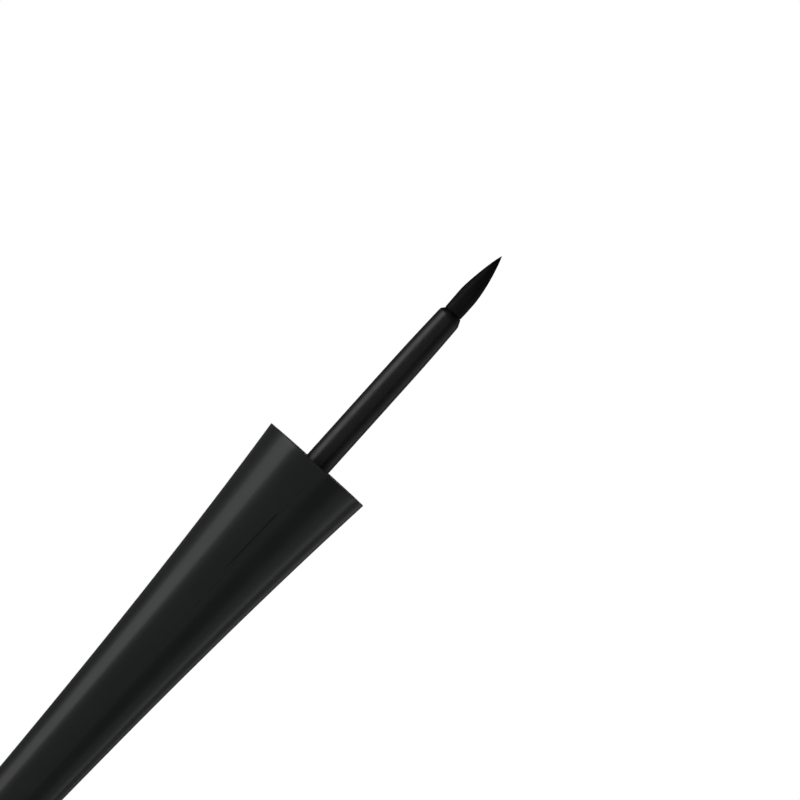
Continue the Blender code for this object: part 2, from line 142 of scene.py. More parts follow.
def round_ring(shape, radius, height, by, segments=4):
    """Rounds the sharp ring at that radius and height."""

    def on_ring(vert):
        beside, above = vert.co.to_2d().length - radius, vert.co.z - height
        return max(abs(beside), abs(above)) < SAME_RING

    ring = [edge for edge in shape.edges if all(map(on_ring, edge.verts))]
    bmesh.ops.bevel(
        shape, geom=ring, offset=by, segments=segments, profile=0.5, affect="EDGES", material=-1
    )


def mark_joint(shape, beyond):
    """Presses the two hair lines of the mould's joint into the outer wall beyond that radius."""
    turn_by = math.radians(JOINT_TURN)
    across = Vector((math.cos(turn_by), -math.sin(turn_by), 0.0))
    for offset in (-JOINT_WIDTH / 2, 0.0, JOINT_WIDTH / 2):
        whole = shape.verts[:] + shape.edges[:] + shape.faces[:]
        cut = {"plane_co": across * offset, "plane_no": across, "dist": CUT_SNAP}
        bmesh.ops.bisect_plane(shape, geom=whole, **cut)
    shape.normal_update()
    for vert in shape.verts:
        flat = vert.co.to_2d()
        on_line = flat.length > beyond and abs(vert.co.dot(across)) < ON_THE_CUT
        if on_line and vert.normal.to_2d().dot(flat.normalized()) > FACING_OUT:
            vert.co.xy = flat * (1 - JOINT_DEPTH / flat.length)


def as_mesh(shape, name):
    mesh = bpy.data.meshes.new(name)
    shape.to_mesh(mesh)
    shape.free()
    return mesh


def placed(name, mesh):
    """Puts a mesh into the scene as it is, as an object of that name."""
    piece = bpy.data.objects.new(name, mesh)
    bpy.context.scene.collection.objects.link(piece)
    return piece


def finish(shape, name, body, material):
    """Turns the shape into a finished piece in metres, and ties it to its body and CAD node."""
    bmesh.ops.scale(shape, verts=shape.verts, vec=(MM, MM, MM))
    mesh = as_mesh(shape, name)
    mesh.shade_smooth()
    mesh.set_sharp_from_angle(angle=math.radians(SHARP_ANGLE))
    mesh.materials.append(material)
    piece = placed(name, mesh)
    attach(piece, body)
    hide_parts(name)


def new_material(name):
    material = bpy.data.materials.new(name)
    material.use_nodes = True
    return material, material.node_tree, material.node_tree.nodes["Principled BSDF"]


def put(tree, value, socket):
    """Feeds a socket from another one, or sets it to a plain value."""
    if isinstance(value, bpy.types.NodeSocket):
        tree.links.new(value, socket)
    else:
        socket.default_value = value


def fill(tree, node, **values):
    """Feeds or sets the node's sockets by name, with _ for each space in it."""
    for name, value in values.items():
        put(tree, value, node.inputs[name.replace("_", " ")])


def add(tree, kind, **values):
    """Adds a shader node. Capitalised values are its sockets, the others its own settings."""
    made = tree.nodes.new("ShaderNode" + kind)
    for name, value in values.items():
        if name[0].islower():
            setattr(made, name, value)
        else:
            fill(tree, made, **{name: value})
    return made


def maths(tree, operation, *values, kind="Math", result="Value"):
    """The result of a maths node on those values."""
    made = add(tree, kind, operation=operation)
    for value, socket in zip(values, made.inputs):
        put(tree, value, socket)
    return made.outputs[result]


def times(tree, first, second):
    return maths(tree, "MULTIPLY", first, second)


def larger(tree, first, second):
    return maths(tree, "MAXIMUM", first, second)


def mapped(tree, value, start, end, low=0.0, high=1.0):
    """Carries a value from one span to another and holds it at both ends."""
    spans = {"From_Min": start, "From_Max": end, "To_Min": low, "To_Max": high}
    return add(tree, "MapRange", Value=value, **spans).outputs["Result"]


def in_mm(tree, along=1.0):
    """Places on the piece in mm. A pattern is drawn out along the axis where along is under 1."""
    place = add(tree, "TexCoord").outputs["Object"]
    return add(tree, "Mapping", Vector=place, Scale=(1 / MM, 1 / MM, along / MM)).outputs["Vector"]


def height_of(tree, place):
    return add(tree, "SeparateXYZ", Vector=place).outputs["Z"]


def uneven(tree, place, size, low=0.0, high=1.0, detail=3.0):
    """A value that wanders between low and high in patches of that size."""
    noise = add(tree, "TexNoise", Vector=place, Scale=1 / size, Detail=detail)
    return mapped(tree, noise.outputs["Fac"], *NOISE_MIDDLE, low, high)


def shaded(tree, amount, dark, light):
    """A colour that runs evenly from dark to light as amount goes from 0 to 1."""
    ramp = add(tree, "ValToRGB", Fac=amount)
    for stop, colour in zip(ramp.color_ramp.elements, (dark, light)):
        stop.color = colour
    return ramp.outputs["Color"]


def over(tree, under, amount, colour):
    """A colour laid over another one as far as amount says."""
    return add(tree, "MixRGB", Fac=amount, Color1=under, Color2=colour).outputs["Color"]


def relief(tree, height, depth, below=None):
    """The normal of a surface whose relief is that deep, laid over another one."""
    bump = add(tree, "Bump", Height=height, Distance=depth * MM)
    if below:
        fill(tree, bump, Normal=below)
    return bump.outputs["Normal"]


def satin_black(name, worn_edges):
    """Black plastic from a fine-grained mould, polished by handling along its edges."""
    material, tree, shader = new_material(name)
    place, drawn_out = in_mm(tree), in_mm(tree, along=DRAW_LINE_STRETCH)
    height = height_of(tree, place)
    worn = 0.0
    for edge in worn_edges:
        rising = mapped(tree, height, edge - WEAR_REACH, edge - WEAR_CORE)
        falling = mapped(tree, height, edge + WEAR_CORE, edge + WEAR_REACH, low=1.0, high=0.0)
        worn = larger(tree, worn, times(tree, rising, falling))
    wear = times(tree, worn, uneven(tree, place, size=SCUFF_SIZE, detail=5.0))
    fresh = shaded(tree, uneven(tree, place, size=BLACK_MOTTLE), BLACK_SHADE, BLACK_LIGHT)
    colour = over(tree, fresh, times(tree, wear, WEAR_TINT), BLACK_WORN)
    handled = uneven(tree, place, HANDLED_PATCH, *SATIN_ROUGHNESS, detail=4.0)
    polish = times(tree, handled, mapped(tree, wear, 0.0, 1.0, low=1.0, high=WEAR_POLISH))
    grain = uneven(tree, place, size=GRAIN_SIZE, detail=2.0)
    draw_lines = uneven(tree, drawn_out, size=DRAW_LINE_SIZE, detail=2.0)
    skin = relief(tree, draw_lines, DRAW_LINE_DEPTH, below=relief(tree, grain, GRAIN_DEPTH))
    fill(tree, shader, Base_Color=colour, Roughness=polish, Normal=skin, Coat_Normal=skin)
    fill(tree, shader, IOR=BLACK_IOR, Specular_IOR_Level=SATIN_GLOSS, Coat_Weight=SATIN_COAT)
    fill(tree, shader, Coat_IOR=BLACK_IOR, Coat_Roughness=SATIN_COAT_ROUGHNESS)
    return material


def sleeve_radius(height):
    share = 1 - height / SHOULDER
    return RIM_RADIUS + (FOOT_RADIUS - RIM_RADIUS) * share * (2 - share)


def wall(radius_at, start, end, inset=0.0, steps=WALL_STEPS):
    """Points up or down a curved wall, both ends included."""
    heights = [start + (end - start) * i / steps for i in range(steps + 1)]
    return [(radius_at(height) - inset, height) for height in heights]


neck_hole = THREAD_RADIUS + SEAT_GAP
profile = [(neck_hole, LAND_TOP), (LAND_RADIUS, LAND_TOP), (LAND_RADIUS, SHOULDER)]
profile += wall(sleeve_radius, SHOULDER, 0.0)
profile += wall(sleeve_radius, 0.0, SHOULDER - SLEEVE_WALL, inset=SLEEVE_WALL)
profile += [(neck_hole, SHOULDER - SLEEVE_WALL)]
sleeve = turn(profile)
round_ring(sleeve, RIM_RADIUS, SHOULDER, SHOULDER_ROUND)
round_ring(sleeve, LAND_RADIUS, LAND_TOP, LAND_ROUND)
round_ring(sleeve, neck_hole, LAND_TOP, LAND_ROUND)
round_ring(sleeve, FOOT_RADIUS, 0.0, FOOT_ROUND)
round_ring(sleeve, FOOT_RADIUS - SLEEVE_WALL, 0.0, FOOT_INNER_ROUND)
mark_joint(sleeve, beyond=RIM_RADIUS - JOINT_MARGIN)
sleeve_black = satin_black("sleeve_satin_black", worn_edges=(LAND_TOP, SHOULDER, FOOT_WORN_AT))
finish(sleeve, "bottle_sleeve", "bottle", sleeve_black)


# Base plug: a disc of smooth black plastic, pressed into the foot of the sleeve. Underneath it is
# slightly hollowed inside its standing ring, with the stub of the mould's gate in the middle.
PLUG_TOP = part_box("base_plug")[1][2] / MM
PLUG_RADIUS = FOOT_RADIUS - SLEEVE_WALL - SEAT_GAP
PLUG_DISH = 0.6
PLUG_RING = 2.2
PLUG_CHAMFER = 0.3
PLUG_ROUND = PLUG_CHAMFER / 2
FOOT_RING = 1.5
FOOT_RING_ROUND = PLUG_CHAMFER / 3
FOOT_HOLLOW = 0.25
GATE_RADIUS = 0.45
GATE_HEIGHT = 0.12
GATE_ROUND = 0.05

SMOOTH_SHADE = (0.0060, 0.0062, 0.0062, 1.0)
SMOOTH_LIGHT = (0.0078, 0.0081, 0.0080, 1.0)
SMOOTH_MOTTLE = 3.0
SMOOTH_GLOSS = 0.5
DULL_PATCH = 0.9
DULL_LESS = 0.05
DULL_MORE = 0.06
RIPPLE_SIZE = 0.5
RIPPLE_DEPTH = 0.001
RIPPLE_STRETCH = 0.15
PLUG_ROUGHNESS = 0.20


def smooth_black(name, roughness, ripple=RIPPLE_DEPTH, gloss=SMOOTH_GLOSS):
    """Black plastic from a polished mould, with a faint ripple and a few dull patches."""
    material, tree, shader = new_material(name)
    place, drawn_out = in_mm(tree), in_mm(tree, along=RIPPLE_STRETCH)
    colour = shaded(tree, uneven(tree, place, size=SMOOTH_MOTTLE), SMOOTH_SHADE, SMOOTH_LIGHT)
    least, most = roughness - DULL_LESS, roughness + DULL_MORE
    dull = uneven(tree, place, DULL_PATCH, least, most, detail=5.0)
    skin = relief(tree, uneven(tree, drawn_out, size=RIPPLE_SIZE), ripple)
    fill(tree, shader, Base_Color=colour, Roughness=dull, Normal=skin)
    fill(tree, shader, IOR=BLACK_IOR, Specular_IOR_Level=gloss)
    return material


dish = PLUG_RADIUS - PLUG_RING
dish_floor = PLUG_TOP - PLUG_DISH
ring_inside = PLUG_RADIUS - FOOT_RING
gate_end = FOOT_HOLLOW - GATE_HEIGHT
profile = [(0.0, dish_floor), (dish - PLUG_DISH, dish_floor), (dish, PLUG_TOP)]
profile += [(PLUG_RADIUS - PLUG_CHAMFER, PLUG_TOP), (PLUG_RADIUS, PLUG_TOP - PLUG_CHAMFER)]
profile += [(PLUG_RADIUS, 0.0), (ring_inside, 0.0), (ring_inside - FOOT_HOLLOW, FOOT_HOLLOW)]
profile += [(GATE_RADIUS, FOOT_HOLLOW), (GATE_RADIUS, gate_end), (0.0, gate_end)]
plug = turn(profile)
round_ring(plug, PLUG_RADIUS, 0.0, PLUG_ROUND, segments=3)
round_ring(plug, ring_inside, 0.0, FOOT_RING_ROUND, segments=3)
round_ring(plug, GATE_RADIUS, gate_end, GATE_ROUND, segments=2)
plug_black = smooth_black("plug_smooth_black", PLUG_ROUGHNESS)
finish(plug, "base_plug", "bottle", plug_black)


# Ink vial: the inner bottle of milky, unpigmented plastic, blown with a neck that carries two
# turns of a rounded screw thread. The root of the neck fills the hole in the sleeve, and only the
# inked neck shows.
VIAL_BOTTOM, NECK_TOP = (corner[2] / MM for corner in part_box("ink_vial"))
VIAL_TOP = SHOULDER - SLEEVE_WALL - SEAT_GAP
VIAL_WALL = 0.9
VIAL_WALL_STEPS = 24
VIAL_FLOOR = 1.0
VIAL_CORNER = 1.2
VIAL_INNER_CORNER = 0.6
NECK_RADIUS = 3.7
NECK_BORE_RADIUS = 2.9
NECK_EDGE = 0.2
THREAD_PITCH = 2.4
THREAD_RIDGE = THREAD_RADIUS - NECK_RADIUS
THREAD_START = 1.3
THREAD_STEPS = 64
THREAD_SIDES = 16
THREAD_FADE = 0.25
THREAD_END = 0.2
NECK_TURNS = 2.0

MILKY_CLEAR = (0.58, 0.60, 0.585, 1.0)
MILKY_DENSE = (0.70, 0.715, 0.695, 1.0)
MILKY_PATCH = 2.5
MILKY_IOR = 1.49
MILKY_GRAIN_SIZE = 0.3
MILKY_GRAIN_DEPTH = 0.002
INK_FILM = (0.010, 0.010, 0.011, 1.0)
INK_FILM_EDGE = (0.8, 1.2)
INK_FILM_DEPTH = 0.01
INK_FILM_ROUGHNESS = 0.16
SMEAR_SIZE = 1.3
SMEAR_SHARE = 0.4
VIAL_ROUGHNESS = 0.34
INK_DOWN_NECK = 5.0
INK_PAST_LIP = 2.0
INK_ROUND_LIP = 0.2


def vial_radius(height):
    return sleeve_radius(height) - SLEEVE_WALL - SEAT_GAP


def thread_ridge(radius, start, turns):
    """A round ridge that winds up to the right on that radius and thins away at both ends."""
    ridge = bmesh.new()
    bmesh.ops.create_circle(ridge, cap_ends=False, segments=THREAD_SIDES, radius=THREAD_RIDGE)
    stand = Matrix.Translation((radius, 0.0, start)) @ Matrix.Rotation(math.radians(90), 4, "X")
    bmesh.ops.transform(ridge, matrix=stand, verts=ridge.verts)
    steps = round(turns * THREAD_STEPS)
    bmesh.ops.spin(
        ridge, geom=ridge.verts[:] + ridge.edges[:], cent=(0, 0, 0), axis=(0, 0, 1),
        angle=math.tau * turns, steps=steps, dvec=(0, 0, THREAD_PITCH / THREAD_STEPS),
    )
    ridge.verts.ensure_lookup_table()
    for i in range(steps + 1):
        inwards = min(1.0, min(i, steps - i) / (THREAD_STEPS * THREAD_FADE))
        thickness = THREAD_END + (1 - THREAD_END) * math.sin(math.pi / 2 * inwards)
        ring = ridge.verts[i * THREAD_SIDES : (i + 1) * THREAD_SIDES]
        middle = sum((vert.co for vert in ring), Vector()) / len(ring)
        for vert in ring:
            vert.co = middle + (vert.co - middle) * thickness
    bmesh.ops.holes_fill(ridge, edges=ridge.edges, sides=0)
    bmesh.ops.recalc_face_normals(ridge, faces=ridge.faces)
    return ridge


def joined(shape, ridge):
    """The union of a turned shape and its thread."""
    meshes = [as_mesh(part, "part_of_union") for part in (shape, ridge)]
    blank, cutter = (placed("part_of_union", mesh) for mesh in meshes)
    union = blank.modifiers.new("thread", "BOOLEAN")
    union.operation, union.solver, union.object = "UNION", "EXACT", cutter
    bpy.context.view_layer.update()
    made = blank.evaluated_get(bpy.context.evaluated_depsgraph_get())
    meshes.append(bpy.data.meshes.new_from_object(made))
    whole = bmesh.new()
    whole.from_mesh(meshes[-1])
    bmesh.ops.dissolve_degenerate(whole, edges=whole.edges, dist=SAME_SPOT)
    for helper in (blank, cutter):
        bpy.data.objects.remove(helper)
    for mesh in meshes:
        bpy.data.meshes.remove(mesh)
    return whole


def level_part(tree, vector):
    """The vector without its height."""
    return maths(tree, "MULTIPLY", vector, (1.0, 1.0, 0.0), kind="VectorMath", result="Vector")


def off_axis(tree, place):
    """The distance from the common axis."""
    return maths(tree, "LENGTH", level_part(tree, place), kind="VectorMath")


def natural_plastic(name, roughness, inked_from, inked_to, clean_radius, inked_radius):
    """Milky plastic that ink has crept over, between those heights and towards the bore."""
    material, tree, shader = new_material(name)
    place = in_mm(tree)
    milky = shaded(tree, uneven(tree, place, size=MILKY_PATCH), MILKY_CLEAR, MILKY_DENSE)
    rising = mapped(tree, height_of(tree, place), inked_from, inked_to)
    inward = mapped(tree, off_axis(tree, place), clean_radius, inked_radius)
    smears = uneven(tree, place, size=SMEAR_SIZE, detail=2.0)
    wetted = maths(tree, "ADD", larger(tree, rising, inward), times(tree, smears, SMEAR_SHARE))
    ink = mapped(tree, wetted, *INK_FILM_EDGE)
    matt = mapped(tree, ink, 0.0, 1.0, roughness, INK_FILM_ROUGHNESS)
    grain = relief(tree, uneven(tree, place, size=MILKY_GRAIN_SIZE), MILKY_GRAIN_DEPTH)
    skin = relief(tree, ink, INK_FILM_DEPTH, below=grain)
    fill(tree, shader, Base_Color=over(tree, milky, ink, INK_FILM), Roughness=matt)
    fill(tree, shader, Normal=skin, IOR=MILKY_IOR)
    return material


inside_floor = VIAL_BOTTOM + VIAL_FLOOR
inside_top = VIAL_TOP - VIAL_WALL
profile = [(0.0, inside_floor)]
profile += wall(vial_radius, inside_floor, inside_top, inset=VIAL_WALL, steps=VIAL_WALL_STEPS)
profile += [(NECK_BORE_RADIUS, inside_top), (NECK_BORE_RADIUS, NECK_TOP), (NECK_RADIUS, NECK_TOP)]
profile += [(NECK_RADIUS, LAND_TOP), (THREAD_RADIUS, LAND_TOP), (THREAD_RADIUS, VIAL_TOP)]
profile += wall(vial_radius, VIAL_TOP, VIAL_BOTTOM, steps=VIAL_WALL_STEPS)
profile += [(0.0, VIAL_BOTTOM)]
vial = turn(profile, steps=THREAD_STEPS)
for height in (VIAL_TOP, VIAL_BOTTOM):
    round_ring(vial, vial_radius(height), height, VIAL_CORNER)
for height in (inside_floor, inside_top):
    round_ring(vial, vial_radius(height) - VIAL_WALL, height, VIAL_INNER_CORNER)
for radius in (NECK_BORE_RADIUS, NECK_RADIUS):
    round_ring(vial, radius, NECK_TOP, NECK_EDGE)
round_ring(vial, THREAD_RADIUS, LAND_TOP, LAND_ROUND)
vial = joined(vial, thread_ridge(NECK_RADIUS, SHOULDER + THREAD_START, NECK_TURNS))
vial_milky = natural_plastic(
    "vial_milky_plastic", VIAL_ROUGHNESS,
    inked_from=NECK_TOP - INK_DOWN_NECK, inked_to=NECK_TOP + INK_PAST_LIP,
    clean_radius=NECK_RADIUS - INK_ROUND_LIP, inked_radius=NECK_BORE_RADIUS,
)
finish(vial, "ink_vial", "bottle", vial_milky)


# Wiper: a bush of soft, waxy plastic pushed into the neck, with a flange on its mouth. Its cone
# ends in a thin lip that just clears the stem and strips the ink off it. The bore is always wet
# with ink, and the rim of the flange stays clean.
WIPER_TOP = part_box("wiper")[1][2] / MM
WIPER_RADIUS = NECK_BORE_RADIUS - SEAT_GAP
WIPER_FLANGE_RADIUS = 3.4
WIPER_WALL = 0.55
WIPER_TUBE = 5.5
WIPER_CONE = 2.0
WIPER_LIP = 0.7
WIPER_EDGE = 0.12
WIPER_ROUGHNESS = 0.45
WIPER_CLEAN_RADIUS = 3.3
WIPER_INKED_RADIUS = 2.3
WIPER_INK_ABOVE = 1.0
ORIFICE_RADIUS = 1.73

flange_under = NECK_TOP + SEAT_GAP
cone_top = NECK_TOP - WIPER_TUBE
lip_top = cone_top - WIPER_CONE
lip_end = lip_top - WIPER_LIP
bore = WIPER_RADIUS - WIPER_WALL
nose = ORIFICE_RADIUS + WIPER_WALL
flange = WIPER_FLANGE_RADIUS
profile = [(bore, WIPER_TOP), (flange, WIPER_TOP), (flange, flange_under)]
profile += [(WIPER_RADIUS, flange_under), (WIPER_RADIUS, cone_top), (nose, lip_top)]
profile += [(nose, lip_end), (ORIFICE_RADIUS, lip_end), (ORIFICE_RADIUS, lip_top)]
profile += [(bore, cone_top)]
bush = turn(profile)
for radius, height in (
    (bore, WIPER_TOP), (flange, WIPER_TOP), (flange, flange_under), (ORIFICE_RADIUS, lip_top)
):
    round_ring(bush, radius, height, WIPER_EDGE)
wiper_waxy = natural_plastic(
    "wiper_waxy_plastic", WIPER_ROUGHNESS,
    inked_from=WIPER_TOP + WIPER_INK_ABOVE, inked_to=WIPER_TOP + 2 * WIPER_INK_ABOVE,
    clean_radius=WIPER_CLEAN_RADIUS, inked_radius=WIPER_INKED_RADIUS,
)
finish(bush, "wiper", "bottle", wiper_waxy)


# Mixing ball: a bright steel ball, lapped smooth, that lies loose in the ink and stirs it when the
# bottle is shaken. It is inside the vial and shows only when the vial is taken out.
BALL_RINGS = 40
BALL_MARKS = 0.12
STEEL_DARK = (0.46, 0.46, 0.47, 1.0)
STEEL_BRIGHT = (0.62, 0.62, 0.62, 1.0)
STEEL_PATCH = 1.2
STEEL_ROUGHNESS = (0.16, 0.28)
MARK_DEPTH = 0.0006
MARK_STRETCH = 0.1


def polished_steel(name, marks):
    """Bright steel with lapping or rolling marks of that size, along which the shine varies."""
    material, tree, shader = new_material(name)
    place, drawn_out = in_mm(tree), in_mm(tree, along=MARK_STRETCH)
    colour = shaded(tree, uneven(tree, place, size=STEEL_PATCH), STEEL_DARK, STEEL_BRIGHT)
    worked = uneven(tree, drawn_out, size=marks, detail=4.0)
    shine = mapped(tree, worked, 0.0, 1.0, *STEEL_ROUGHNESS)
    skin = relief(tree, worked, MARK_DEPTH)
    fill(tree, shader, Base_Color=colour, Roughness=shine, Normal=skin, Metallic=1.0)
    return material


ball_low, ball_high = (Vector(corner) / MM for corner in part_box("mixing_ball"))
ball = bmesh.new()
bmesh.ops.create_uvsphere(
    ball, u_segments=2 * BALL_RINGS, v_segments=BALL_RINGS, radius=(ball_high.z - ball_low.z) / 2,
    matrix=Matrix.Translation((ball_low + ball_high) / 2),
)
finish(ball, "mixing_ball", "ball", polished_steel("ball_steel", marks=BALL_MARKS))


# Cap shell: the long handle, a thin hollow moulding of the same satin black plastic. Its outline
# is a flare that dies away towards the slim tail, where the gate of the mould left a small dimple.
# A faint hair scratch runs down its front.
CAP_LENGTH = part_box("cap_shell")[1][2] / MM - cap_rim
SLIM_RADIUS = 1.95
FLARE_LENGTH = 51.2
CAP_WALL = 0.9
CAP_DOME = 1.6
CAP_TAIL_WALL = 4.0
CAP_EDGE = 0.07
DOME_STEPS = 14
DIMPLE_RADIUS = 0.5
DIMPLE_DEPTH = 0.06
SCRATCH_SHADE = (0.0015, 0.0016, 0.0016, 1.0)
SCRATCH_WIDTH = 0.24
SCRATCH_LOW = 6.6
SCRATCH_LOW_ACROSS = -0.38
SCRATCH_LOW_FADE = 0.8
SCRATCH_HIGH = 16.0
SCRATCH_HIGH_ACROSS = -0.12
SCRATCH_HIGH_FADE = 2.0
FRONT_FADE = 0.5


def cap_radius(height):
    """Outer radius of the cap at a height in the drawn-out position."""
    return SLIM_RADIUS + (RIM_RADIUS - SLIM_RADIUS) * math.exp((cap_rim - height) / FLARE_LENGTH)


def scratch_mark(tree, foot, head):
    """1 along a straight hair scratch on the front, between two (x, z) places, and 0 elsewhere."""
    parts = add(tree, "SeparateXYZ", Vector=in_mm(tree)).outputs
    slant = (head[0] - foot[0]) / (head[1] - foot[1])
    middle = maths(tree, "MULTIPLY_ADD", parts["Z"], slant, foot[0] - slant * foot[1])
    away = maths(tree, "ABSOLUTE", maths(tree, "SUBTRACT", parts["X"], middle))
    line = mapped(tree, away, SCRATCH_WIDTH / 4, SCRATCH_WIDTH / 2, low=1.0, high=0.0)
    starts = mapped(tree, parts["Z"], foot[1], foot[1] + SCRATCH_LOW_FADE)
    ends = mapped(tree, parts["Z"], head[1] - SCRATCH_HIGH_FADE, head[1], low=1.0, high=0.0)
    front = mapped(tree, parts["Y"], -FRONT_FADE, 0.0, low=1.0, high=0.0)
    return times(tree, times(tree, line, front), times(tree, starts, ends))


def repaint(material, amount, colour):
    """Lays a colour over a finished material as far as amount says."""
    tree = material.node_tree
    base = tree.nodes["Principled BSDF"].inputs["Base Color"]
    put(tree, over(tree, base.links[0].from_socket, amount, colour), base)


tail = cap_rim + CAP_LENGTH - CAP_DOME
bore_end = cap_rim + CAP_LENGTH - CAP_TAIL_WALL
dome = []
for i in range(DOME_STEPS):
    around = math.pi / 2 * i / DOME_STEPS
    radius, height = cap_radius(tail) * math.cos(around), tail + CAP_DOME * math.sin(around)
    if radius > DIMPLE_RADIUS + DIMPLE_DEPTH:
        dome.append((radius, height))
dimple = dome[-1][1] - DIMPLE_DEPTH
profile = [(0.0, dimple), (DIMPLE_RADIUS, dimple)] + dome[:0:-1]
profile += wall(cap_radius, tail, cap_rim, steps=3 * WALL_STEPS)
profile += wall(cap_radius, cap_rim, bore_end, inset=CAP_WALL) + [(0.0, bore_end)]
handle = turn(profile)
round_ring(handle, RIM_RADIUS, cap_rim, CAP_EDGE, segments=3)
round_ring(handle, RIM_RADIUS - CAP_WALL, cap_rim, CAP_EDGE, segments=3)
mark_joint(handle, beyond=SLIM_RADIUS)
cap_black = satin_black("cap_satin_black", worn_edges=(cap_rim,))
scratch_foot = (SCRATCH_LOW_ACROSS, cap_rim + SCRATCH_LOW)
scratch_head = (SCRATCH_HIGH_ACROSS, cap_rim + SCRATCH_HIGH)
scored = scratch_mark(cap_black.node_tree, scratch_foot, scratch_head)
repaint(cap_black, scored, SCRATCH_SHADE)
finish(handle, "cap_shell", "applicator", cap_black)


# Inner cap: the insert of smooth black plastic that is pressed up into the rim. Its bore carries
# the thread that turns onto the neck, and a boss above its ceiling grips the stem.
INNER_CAP_SETBACK = 0.6
INNER_CAP_EDGE = 0.15
INNER_CAP_LEAD = 0.3
INNER_CAP_ROUGHNESS = 0.24
CEILING = 1.2
CEILING_UNDER = 9.15
BOSS_RADIUS = 2.6
BOSS_HEIGHT = 6.65
THREAD_CLEARANCE = 0.2
CAP_TURNS = 1.5
CLOSED_GAP = 0.3
STEM_ROOT = 6.0
STEM_ROOT_RADIUS = 1.25
STEM_BARB = 0.2

bore_radius = THREAD_RADIUS + THREAD_CLEARANCE
socket = STEM_ROOT_RADIUS + STEM_BARB + SEAT_GAP
skirt = cap_rim + INNER_CAP_SETBACK
ceiling = cap_rim + CEILING_UNDER
boss_foot = ceiling + CEILING
boss_top = boss_foot + BOSS_HEIGHT
socket_top = ceiling + STEM_ROOT + SEAT_GAP
profile = [(0.0, boss_top), (BOSS_RADIUS, boss_top), (BOSS_RADIUS, boss_foot)]
profile += wall(cap_radius, boss_foot, skirt, inset=CAP_WALL + SEAT_GAP)
profile += [(bore_radius, skirt), (bore_radius, ceiling), (socket, ceiling), (socket, socket_top)]
profile += [(0.0, socket_top)]
insert = turn(profile, steps=THREAD_STEPS)
round_ring(insert, BOSS_RADIUS, boss_top, INNER_CAP_EDGE)
round_ring(insert, cap_radius(skirt) - CAP_WALL - SEAT_GAP, skirt, INNER_CAP_EDGE)
round_ring(insert, bore_radius, skirt, INNER_CAP_LEAD)
cap_thread_start = cap_rim - CLOSED_GAP + THREAD_START + THREAD_PITCH / 2
insert = joined(insert, thread_ridge(bore_radius, cap_thread_start, CAP_TURNS))
insert_black = smooth_black("insert_smooth_black", INNER_CAP_ROUGHNESS)
finish(insert, "inner_cap", "applicator", insert_black)


# Seal liner: a soft ring punched from foamed plastic, held under the ceiling of the inner cap. The
# wiper's flange has pressed a shallow ring into it, and a little ink has soaked in there.
LINER_HOLE = 2.35
LINER_EDGE = 0.08
LINER_DENT = 0.08
LINER_DENT_IN = 2.5
LINER_DENT_OUT = 3.4
FOAM_LIGHT = (0.80, 0.79, 0.75, 1.0)
FOAM_DARK = (0.66, 0.65, 0.61, 1.0)
FOAM_PATCH = 1.0
FOAM_CELLS = 9.0
FOAM_CELL_REACH = 0.8
FOAM_ROUGHNESS = (0.9, 0.7)
FOAM_PIT_DEPTH = 0.03
STAIN_SIZE = 0.7
STAIN_STRENGTH = 0.8


def sealing_foam(name):
    """Fine closed foam, pitted all over and stained with soaked-in ink."""
    material, tree, shader = new_material(name)
    place = in_mm(tree)
    cells = add(tree, "TexVoronoi", Vector=place, Scale=FOAM_CELLS).outputs["Distance"]
    clean = shaded(tree, uneven(tree, place, size=FOAM_PATCH), FOAM_DARK, FOAM_LIGHT)
    stain = times(tree, uneven(tree, place, size=STAIN_SIZE, detail=4.0), STAIN_STRENGTH)
    matt = mapped(tree, cells, 0.0, FOAM_CELL_REACH, *FOAM_ROUGHNESS)
    pits = relief(tree, cells, FOAM_PIT_DEPTH)
    colour = over(tree, clean, stain, INK_FILM)
    fill(tree, shader, Base_Color=colour, Roughness=matt, Normal=pits)
    return material


liner_low, liner_high = (corner[2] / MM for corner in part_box("seal_liner"))
liner_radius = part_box("seal_liner")[1][0] / MM
dent_top = liner_low + LINER_DENT
profile = [(LINER_HOLE, liner_high), (liner_radius, liner_high), (liner_radius, liner_low)]
profile += [(LINER_DENT_OUT + LINER_DENT, liner_low), (LINER_DENT_OUT, dent_top)]
profile += [(LINER_DENT_IN, dent_top), (LINER_DENT_IN - LINER_DENT, liner_low)]
profile += [(LINER_HOLE, liner_low)]
liner = turn(profile)
round_ring(liner, liner_radius, liner_low, LINER_EDGE, segments=3)
finish(liner, "seal_liner", "liner", sealing_foam("liner_foam"))


# Applicator stem: a moulded rod of smooth black plastic. Its barbed root is driven into the boss,
# a collar stops it under the ceiling, and the thinned, rounded end has a socket for the brush.
# Wet ink blackens the very end.
STEM_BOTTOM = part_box("applicator_stem")[0][2] / MM
STEM_RADIUS = 1.63
STEM_END_RADIUS = 1.5
STEM_MOUTH_RADIUS = 1.15
STEM_TAPER = 9.3
STEM_NOSE = 0.62
STEM_SHOULDER = 0.16
STEM_EDGE = 0.03
STEM_UNEVEN = 0.2
STEM_UNEVEN_TO = 2.6
STEM_OUTSIDE = 0.01
STEM_STEPS = 96
COLLAR_RADIUS = 2.2
COLLAR_HEIGHT = 0.75
COLLAR_EDGE = 0.1
BARBS = 3
SOCKET_RADIUS = 0.95
SOCKET_MOUTH_RADIUS = 1.10
SOCKET_FLARE = 0.25
SOCKET_DEPTH = 3.2
STEM_ROUGHNESS = 0.30
STEM_RIPPLE = 0.003
STEM_GLOSS = 0.72
END_INK = (0.0015, 0.0016, 0.0016, 1.0)
END_INK_FROM = 0.05
END_INK_TO = 0.4


def stem_radius(height):
    """Straight, then thinner and thinner over the last stretch."""
    share = max(0.0, (STEM_BOTTOM + STEM_TAPER - height) / (STEM_TAPER - STEM_NOSE))
    return STEM_RADIUS - (STEM_RADIUS - STEM_END_RADIUS) * share**2


